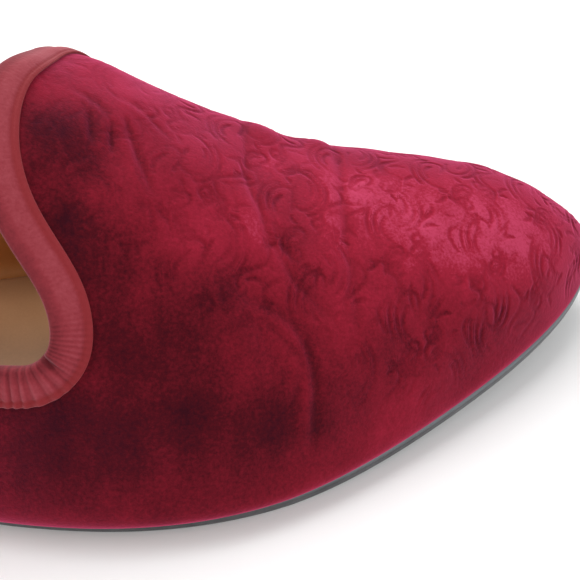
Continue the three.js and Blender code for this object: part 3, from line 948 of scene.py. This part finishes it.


# the last's points raised along its normals by pattern, creases, swells and waver, and the lie of the nap,
# with painted light and painted shade added to it
def buildVelvet(sheet):
    angles = evenAngles(sheet)
    girths = np.concatenate([
        np.linspace(-1, sheet["columnsMeet"], sheet["outerColumns"], endpoint=False),
        np.linspace(sheet["columnsMeet"], 1, sheet["innerColumns"]),
    ])
    angle, girth, faces = sheetBelowTopline(angles, girths, sheet["underRibbon"])
    rows, columns = angle.shape
    onSheet = np.zeros(rows * columns, bool)
    onSheet[faces] = True

    points = lastPoint(angle, girth)
    normals = lastNormal(angle, girth)
    stepAlong = np.gradient(points, axis=0)
    alongs = unit(stepAlong - np.sum(stepAlong * normals, -1, keepdims=True) * normals)
    alongWalk = np.cumsum(norm(np.diff(points, axis=0, prepend=points[:1]), axis=-1), axis=0)
    acrossWalk = np.cumsum(norm(np.diff(points, axis=1, prepend=points[:, :1]), axis=-1), axis=1)
    acrossWalk = acrossWalk - acrossWalk[:, np.abs(girths).argmin()][:, None]
    fabric = np.stack([alongWalk, acrossWalk], -1).reshape(-1, 2)
    points, normals, alongs = (grid.reshape(-1, 3) for grid in (points, normals, alongs))
    station = angleStation(angle.ravel())

    used = np.flatnonzero(onSheet)
    press, lineGap = np.zeros((2, len(points)))
    press[used], lineGap[used] = pressedPattern(points[used], normals[used], alongs[used], fabric[used])
    low = 1 - np.abs(girth.ravel())
    clear = patternClarity(points, station, low)
    press = press * clear
    lineShare = clear * (1 - smoothStep(*wear["lineFade"], np.abs(lineGap)))
    print("pattern pressed")

    height = softSpots(points, swells) - sheet["pressDepth"] * press
    paintedRimLift = paintedRimLight["lift"] * np.exp(-(low / paintedRimLight["reach"]) ** 2)
    # the nap with painted light along the sole, and painted light and shade from the patches and the creases
    nap = sheet["nap"] + paintedRimLift + softSpots(points, napAndPaintedLightPatches)
    for sizes, path in creases.values():
        rise, tone = creaseShape(points, dict(zip(creaseColumns, sizes)), path)
        height = height + rise
        nap = nap + tone
    height = height + sheet["waver"] * clothWaver(points) * smoothStep(*sheet["waverFade"], low)
    points = points + height[:, None] * normals

    number = closedNumbers(rows, columns)
    under, underFaces = turnedUnder(points.reshape(rows, columns, 3), number, sheet)
    points = np.concatenate([points, under])
    faces = np.concatenate([number.ravel()[faces], underFaces])
    spare = np.zeros(len(under))
    attributes = {
        "press": np.concatenate([press, spare]),
        "nap": np.concatenate([nap, spare + sheet["turnNap"]]),
        "lineGap": np.concatenate([np.clip(lineGap, -wear["lineLimit"], wear["lineLimit"]), spare]),
        "lineShare": np.concatenate([lineShare, spare]),
    }
    piece = addPiece("upper_velvet", points, faces, velvet, attributes)
    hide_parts("upper")


buildVelvet(velvetSheet)

# upper: the lining, a leather sheet inside the wall
liningSheet = {"depth": 1.85, "thickness": 0.5, "columns": 141, "rows": 150, "underRibbon": 2.0, "paler": 0.5}


# the last's points sunk along its normals, deeper where a swell sinks
def buildLining(sheet):
    angles = np.linspace(0, np.pi, sheet["rows"])
    girths = np.linspace(-1, 1, sheet["columns"])
    angle, girth, faces = sheetBelowTopline(angles, girths, sheet["underRibbon"])
    points = lastPoint(angle, girth)
    depth = sheet["depth"] - np.minimum(softSpots(points, swells), 0)
    points = (points - depth[..., None] * lastNormal(angle, girth)).reshape(-1, 3)
    faces = closedNumbers(*angle.shape).ravel()[faces][:, ::-1]
    attributes = {"paler": np.full(len(points), sheet["paler"])}
    piece = addPiece("upper_lining", points, faces, lining, attributes)
    solid = piece.modifiers.new("thickness", "SOLIDIFY")
    solid.thickness = sheet["thickness"] * mm
    solid.offset = -1.0


buildLining(liningSheet)

# topline binding: ribbed ribbon folded over the edge of the wall, in millimetres, with places round the
# topline as shares of its length
binding = {
    "width": 6.9, "tongueWidth": 5.2, "insideWidth": 6.9, "over": 0.72, "lift": 0.20, "beadHeight": 0.46,
    "groovePlace": 5.7, "grooveDepth": 0.18, "grooveWidth": 0.42, "beadGap": 0.4,
    "foldReach": 0.60, "foldRound": 0.2, "edgeRows": (4.8, 10), "legRows": (4.2, 0.3, 6),
    "foldPoints": 7, "insideRows": (0.4, 5), "hiddenReach": 0.1, "hiddenGap": 0.3, "hiddenEdge": 0.2,
    "ribPitch": 0.95, "perRib": 4, "ribLine": 3.5, "ribHeight": 0.11, "ribFade": (0.4, 2.6),
    "edgeRibs": 0.35, "foldRibs": 0.08, "insideRibs": 0.6,
    "middleFade": (0.2, 3.2), "middleEdge": (4.6, 5.6), "middleLoss": 0.4, "redBand": (5.1, 5.7),
    "tongueFrom": (0.42, 0.55), "tongueTo": (0.59, 0.66), "tongueDrop": 0.40, "tongueDropFade": (1.0, 3.5),
    "plainFrom": (0.29, 0.335), "plainTo": (0.62, 0.68), "plainShare": 0.85,
    "pinchShare": 0.268, "pinchDepth": 1.45, "pinchLength": 0.9, "pinchMiddle": -0.4, "pinchReach": 3.6,
    "pinchPaintedShade": 1.2, "gatherHeight": 0.20, "gatherPitch": 1.9, "gatherReach": 24.0, "gatherFull": 0.4,
    "gatherFlat": 0.4, "gatherFade": (-0.6, 2.0), "gatherPaintedShading": 0.5, "gatherJitter": (1.2, 0.7),
}


# section of the ribbon: reach into the wall from the topline, height over the wall's outside, and how much of
# the ribs, the lighter middle and the red band it carries; the outer leg crowns softly, dips at the groove
# and ends in a bead
def ribbonSection(shape):
    wall, over, width, inside = lastShape["wall"], shape["over"], shape["width"], shape["insideWidth"]
    groove, hidden, around = shape["groovePlace"], shape["hiddenGap"], shape["foldRound"]
    reach = np.concatenate([np.linspace(width, *shape["edgeRows"]), np.linspace(*shape["legRows"])])
    crown = over + shape["lift"] * np.sin(np.pi * np.clip(reach / groove, 0, 1))
    dip = shape["grooveDepth"] * np.exp(-((reach - groove) / shape["grooveWidth"]) ** 2)
    bead = groove + shape["beadGap"]
    outer = crown - dip - smoothStep(bead, width, reach) * (over - shape["beadHeight"])
    turn = np.linspace(np.pi / 2, -np.pi / 2, shape["foldPoints"] + 2)[1:-1]
    foldReach = around - (around + shape["foldReach"]) * np.cos(turn)
    foldOver = (wall / 2 + over) * np.sin(turn) - wall / 2
    innerStart, innerPoints = shape["insideRows"]
    innerReach = np.linspace(innerStart, inside, innerPoints)
    backReach = np.array([inside, -shape["hiddenReach"], -shape["hiddenReach"], width - hidden])
    backOver = np.array([-wall - shape["hiddenEdge"], -wall - hidden, hidden, -hidden])
    ribs = smoothStep(*shape["ribFade"], reach) * np.where(reach > bead, shape["edgeRibs"], 1.0)
    counts = len(turn), innerPoints, len(backReach)
    otherRibs = np.repeat([shape["foldRibs"], shape["insideRibs"], 0.0], counts)
    dust = smoothStep(*shape["middleFade"], reach)
    dust = dust * (1 - shape["middleLoss"] * smoothStep(*shape["middleEdge"], reach))
    bare = np.zeros(len(otherRibs))
    return (
        np.concatenate([reach, foldReach, innerReach, backReach]),
        np.concatenate([outer, foldOver, np.full(innerPoints, -wall - over), backOver]),
        np.concatenate([ribs, otherRibs]),
        np.concatenate([dust, bare]),
        np.concatenate([smoothStep(*shape["redBand"], reach), bare]),
    )


# one over a stretch of the topline, fading at both its ends
def stretch(shares, start, end):
    return smoothStep(*start, shares) * (1 - smoothStep(*end, shares))


# the section carried round the topline: narrower and smoother over the tongue, ribs by the cosine of the
# walk, gathers before the corner and one pinch in it
def buildBinding(shape):
    shares, walked, pitch = evenTopline(shape["ribPitch"], shape["perRib"], shape["ribLine"])
    reach, over, ribShare, dust, redBand = ribbonSection(shape)
    tongue = stretch(shares, shape["tongueFrom"], shape["tongueTo"])
    plain = stretch(shares, shape["plainFrom"], shape["plainTo"])
    narrow = 1 - tongue * (1 - shape["tongueWidth"] / shape["width"])
    angle, girth = walkFromTopline(shares[:, None], reach[None, :] * narrow[:, None])
    fromPinch = walked - np.interp(shape["pinchShare"], shares, walked)
    full = -shape["gatherFull"] * shape["gatherReach"]
    gathered = smoothStep(-shape["gatherReach"], full, fromPinch) * (fromPinch < 0)
    crown = 0.5 + 0.5 * np.cos(2 * np.pi * walked / pitch)
    crown = 1 - (1 - shape["plainShare"] * plain) * (1 - shape["gatherFlat"] * gathered) * (1 - crown)
    swing, pace = shape["gatherJitter"]
    folds = gathered * np.sin(2 * np.pi * fromPinch / shape["gatherPitch"] + swing * np.sin(pace * fromPinch))
    gather = shape["gatherHeight"] * folds[:, None] * smoothStep(*shape["gatherFade"], reach)
    outside = over > -lastShape["wall"]
    pinchRow = np.exp(-(fromPinch / shape["pinchLength"]) ** 2)
    pinch = pinchRow[:, None] * np.exp(-((reach - shape["pinchMiddle"]) / shape["pinchReach"]) ** 2) * outside
    ribs = ribShare * shape["ribHeight"] * (1 - crown)[:, None]
    sunk = shape["tongueDrop"] * tongue[:, None] * outside * (1 - smoothStep(*shape["tongueDropFade"], reach))
    rise = over - sunk + np.where(outside, gather - ribs - shape["pinchDepth"] * pinch, ribs)
    points = lastPoint(angle, girth)
    points = points + (rise + softSpots(points, swells))[..., None] * lastNormal(angle, girth)
    rows, columns = angle.shape
    faces = gridFaces(rows, columns, wrapRows=True, wrapColumns=True)
    attributes = {
        # painted light on the crowns of the ribs and gathers, painted shade in their valleys
        "rib": np.broadcast_to((crown + shape["gatherPaintedShading"] * folds)[:, None], (rows, columns)),
        # the lighter middle, less painted shade in the pinch
        "dust": dust - shape["pinchPaintedShade"] * pinch,
        "redBand": np.broadcast_to(redBand, (rows, columns)),
    }
    piece = addPiece("topline_ribbon", points.reshape(-1, 3), faces, ribbon, attributes)
    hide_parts("topline_binding")


buildBinding(binding)

# insole: the sock, out to the lining, dished in the middle
insoleShape = {
    "thickness": 2.4, "headroom": 1.0, "liningGap": 0.1, "dish": 1.2, "dishWidth": 40.0, "roundEdge": 0.35,
    "rows": 150, "across": 31, "paler": 0.15, "paintedLightRise": 0.65, "paintedLightFrom": (0.55, 0.95),
}


# rows of points from the outer to the inner wall at the sock's height, lower in the middle by a parabola
def buildInsole(shape):
    angles = np.linspace(0, np.pi, shape["rows"])
    height = np.maximum(lastCurve["height"](angles), shape["thickness"] + shape["headroom"])
    rib = 2 / np.pi * np.arcsin(np.clip(shape["thickness"] / height, 0, 1))
    depth = liningSheet["depth"] + liningSheet["thickness"] + shape["liningGap"]
    edges = []
    for side in (-1, 1):
        girth = side * (1 - rib)
        edges.append(lastPoint(angles, girth) - depth * lastNormal(angles, girth))
    outer, inner = edges
    outer[:, 2] = inner[:, 2] = featherHeight(angles) + shape["thickness"]
    crossed = outer[:, 1] > inner[:, 1]
    middle = (outer + inner) / 2
    outer[crossed], inner[crossed] = middle[crossed], middle[crossed]
    across = np.linspace(0, 1, shape["across"])
    top = outer[:, None] + across[None, :, None] * (inner - outer)[:, None]
    width = norm(inner - outer, axis=1)
    bow = 1 - (2 * across - 1) ** 2
    top[..., 2] -= shape["dish"] * np.minimum(1, width / shape["dishWidth"])[:, None] * bow[None, :]
    top[:, [0, -1], 2] -= shape["roundEdge"]
    foot = top[:, ::-1].copy()
    foot[..., 2] = featherHeight(angles)[:, None]
    ring = np.concatenate([top, foot], axis=1)
    faces = gridFaces(*ring.shape[:2], wrapColumns=True)
    # painted light and shade: the sock paler towards the inner wall and darker towards the outer
    there = np.concatenate([across, across[::-1]])
    paler = shape["paler"] + shape["paintedLightRise"] * smoothStep(*shape["paintedLightFrom"], there)
    attributes = {"paler": np.broadcast_to(paler, ring.shape[:2])}
    piece = addPiece("insole_sock", ring.reshape(-1, 3), faces, sock, attributes)
    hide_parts("insole")


buildInsole(insoleShape)


# the feather line grown in plan: each point moves along the plan normal of its own side
def outline(angles, side, grow):
    edge = lastCurve["lateral" if side < 0 else "medial"]
    low, high = np.clip(angles - probe, 0, np.pi), np.clip(angles + probe, 0, np.pi)
    alongX = lastShape["length"] * (np.cos(low) - np.cos(high)) / 2
    alongY = edge(high) - edge(low)
    ends = (angles < probe) | (angles > np.pi - probe)
    size = np.hypot(alongX, alongY)
    outX = np.where(ends, np.where(angles < np.pi / 2, -1.0, 1.0), -side * alongY / size)
    outY = np.where(ends, 0.0, side * alongX / size)
    x = lastShape["length"] * angleStation(angles)
    return np.stack([x + grow * outX, edge(angles) + grow * outY], -1)


slab = {"highlightFrom": (0.68, 0.88), "weld": 0.01}


# a slab under the last: a side profile of growth and height carried round the outline, closed across
def buildSlab(name, angles, profile, base, strips, finish):
    across = np.linspace(0, 1, strips)[1:-1]
    columns = []
    heights = []
    for side, steps in ((1, profile), (-1, profile[::-1])):
        for grow, height in steps:
            edge = outline(angles, side, grow)
            columns.append(np.column_stack([edge, base(angles, height)]))
            heights.append(height)
        lastStep = steps[-1]
        ends = [outline(angles, hand, lastStep[0]) for hand in (side, -side)]
        for share in across:
            plan = ends[0] + share * (ends[1] - ends[0])
            columns.append(np.column_stack([plan, base(angles, lastStep[1])]))
            heights.append(lastStep[1])
    ring = np.stack(columns, axis=1)
    rows, count = ring.shape[:2]
    faces = gridFaces(rows, count, wrapColumns=True)
    points = np.concatenate([ring.reshape(-1, 3), [ring[-1].mean(axis=0)]])
    front = (rows - 1) * count + np.arange(count)
    hub = np.full(count, rows * count)
    faces = np.concatenate([faces, np.stack([front, hub, hub, np.roll(front, -1)], -1)])
    share = np.array(heights) / max(heights)
    # painted highlight: the upper part of the profile turns bluish
    lip = np.append(np.tile(smoothStep(*slab["highlightFrom"], share), rows), 0.0)
    piece = addPiece(name, points, faces, finish, {"lip": lip})
    piece.modifiers.new("seam", "WELD").merge_threshold = slab["weld"] * mm
    return piece


# outsole: a rounded upper lip that catches the light and carries a painted highlight, a shallow edge groove
# and a bevelled foot
outsole = {
    "rows": 260,
    "strips": 20,
    "profile": (
        (-1.2, 3.20), (-0.2, 3.18), (0.15, 3.05), (0.36, 2.80), (0.42, 2.50), (0.38, 2.20), (0.30, 2.08),
        (0.38, 1.96), (0.42, 1.60), (0.40, 0.90), (0.30, 0.55), (0.05, 0.22), (-0.35, 0.04), (-0.9, 0.0),
    ),
}


# heights are counted from the underside, which is never below the floor
def undersideHeight(angles, height):
    return np.maximum(0, lastCurve["underside"](angles)) + height


outsolePiece = buildSlab(
    "outsole_edge", np.linspace(0, np.pi, outsole["rows"]), outsole["profile"], undersideHeight,
    outsole["strips"], soleEdge,
)
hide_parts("outsole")

# heel: a low block that narrows a little to its foot, with the lines of its lifts
heel = {
    "rows": 90,
    "strips": 20,
    "end": 0.25,
    "topGap": 0.3,
    "profile": (
        (-1.0, 1.00), (-0.3, 1.00), (-0.2, 0.985), (-0.28, 0.70), (-0.42, 0.685), (-0.30, 0.67),
        (-0.50, 0.42), (-0.66, 0.405), (-0.54, 0.39), (-0.90, 0.06), (-1.1, 0.02), (-1.5, 0.0),
    ),
}


# heights are shares of the room between the floor and the outsole
def heelHeight(angles, share):
    return share * (lastCurve["underside"](angles) - heel["topGap"])


heelPiece = buildSlab(
    "heel_block", np.linspace(0, stationAngle(heel["end"]), heel["rows"]), heel["profile"], heelHeight,
    heel["strips"], heelRubber,
)
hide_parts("heel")

# floor, light and camera
stage = {
    "half": 3.0, "colour": (0.90, 0.90, 0.90, 1), "rough": 0.9, "sky": (1.0, 1.0, 1.0, 1), "skyLight": 0.56,
}
floorMesh = bpy.data.meshes.new("floor")
half = stage["half"]
corners = [(-half, -half, 0), (half, -half, 0), (half, half, 0), (-half, half, 0)]
floorMesh.from_pydata(corners, [], [(0, 1, 2, 3)])
floor = bpy.data.objects.new("floor", floorMesh)
scene.collection.objects.link(floor)
floorFinish = bpy.data.materials.new("floor")
floorFinish.use_nodes = True
floorShader = floorFinish.node_tree.nodes["Principled BSDF"]
floorShader.inputs["Base Color"].default_value = stage["colour"]
floorShader.inputs["Roughness"].default_value = stage["rough"]
floorMesh.materials.append(floorFinish)

lights = {
    "key": {"place": (-0.20, 0.40, 0.75), "aim": (0.05, 0.0, 0.03), "size": 1.0, "power": 9.0},
    "front": {"place": (0.60, -0.60, 0.60), "aim": (0.05, 0.0, 0.03), "size": 0.8, "power": 4.0},
    "heelSide": {"place": (-0.75, -0.10, 0.55), "aim": (0.02, 0.0, 0.02), "size": 0.4, "power": 1.5},
}


# a lamp or camera at a place, turned to what it is aimed at
def aimedObject(name, data, place, aim):
    item = bpy.data.objects.new(name, data)
    item.location = place
    item.rotation_mode = "QUATERNION"
    item.rotation_quaternion = (Vector(aim) - Vector(place)).to_track_quat("-Z", "Y")
    scene.collection.objects.link(item)
    return item


for name, light in lights.items():
    lamp = bpy.data.lights.new(name, "AREA")
    lamp.size = light["size"]
    lamp.energy = light["power"]
    aimedObject(name, lamp, light["place"], light["aim"])

world = bpy.data.worlds.new("studio")
scene.world = world
world.use_nodes = True
sky = world.node_tree.nodes["Background"]
sky.inputs["Color"].default_value = stage["sky"]
sky.inputs["Strength"].default_value = stage["skyLight"]
scene.view_settings.view_transform = "Standard"

# camera in the last's table, in millimetres; the near clip in metres
view = {
    "place": (198.1, -142.7, 123.5), "aim": (218.04, -5.0, 21.68), "lens": 44.33, "sensor": 36.0,
    "nearClip": 0.005,
}
place, aim = (((np.array(view[key]) + tableShift) * mm).tolist() for key in ("place", "aim"))
camera = aimedObject("camera", bpy.data.cameras.new("camera"), place, aim)
camera.data.lens = view["lens"]
camera.data.sensor_width = view["sensor"]
camera.data.clip_start = view["nearClip"]
scene.camera = camera
print("stage set")
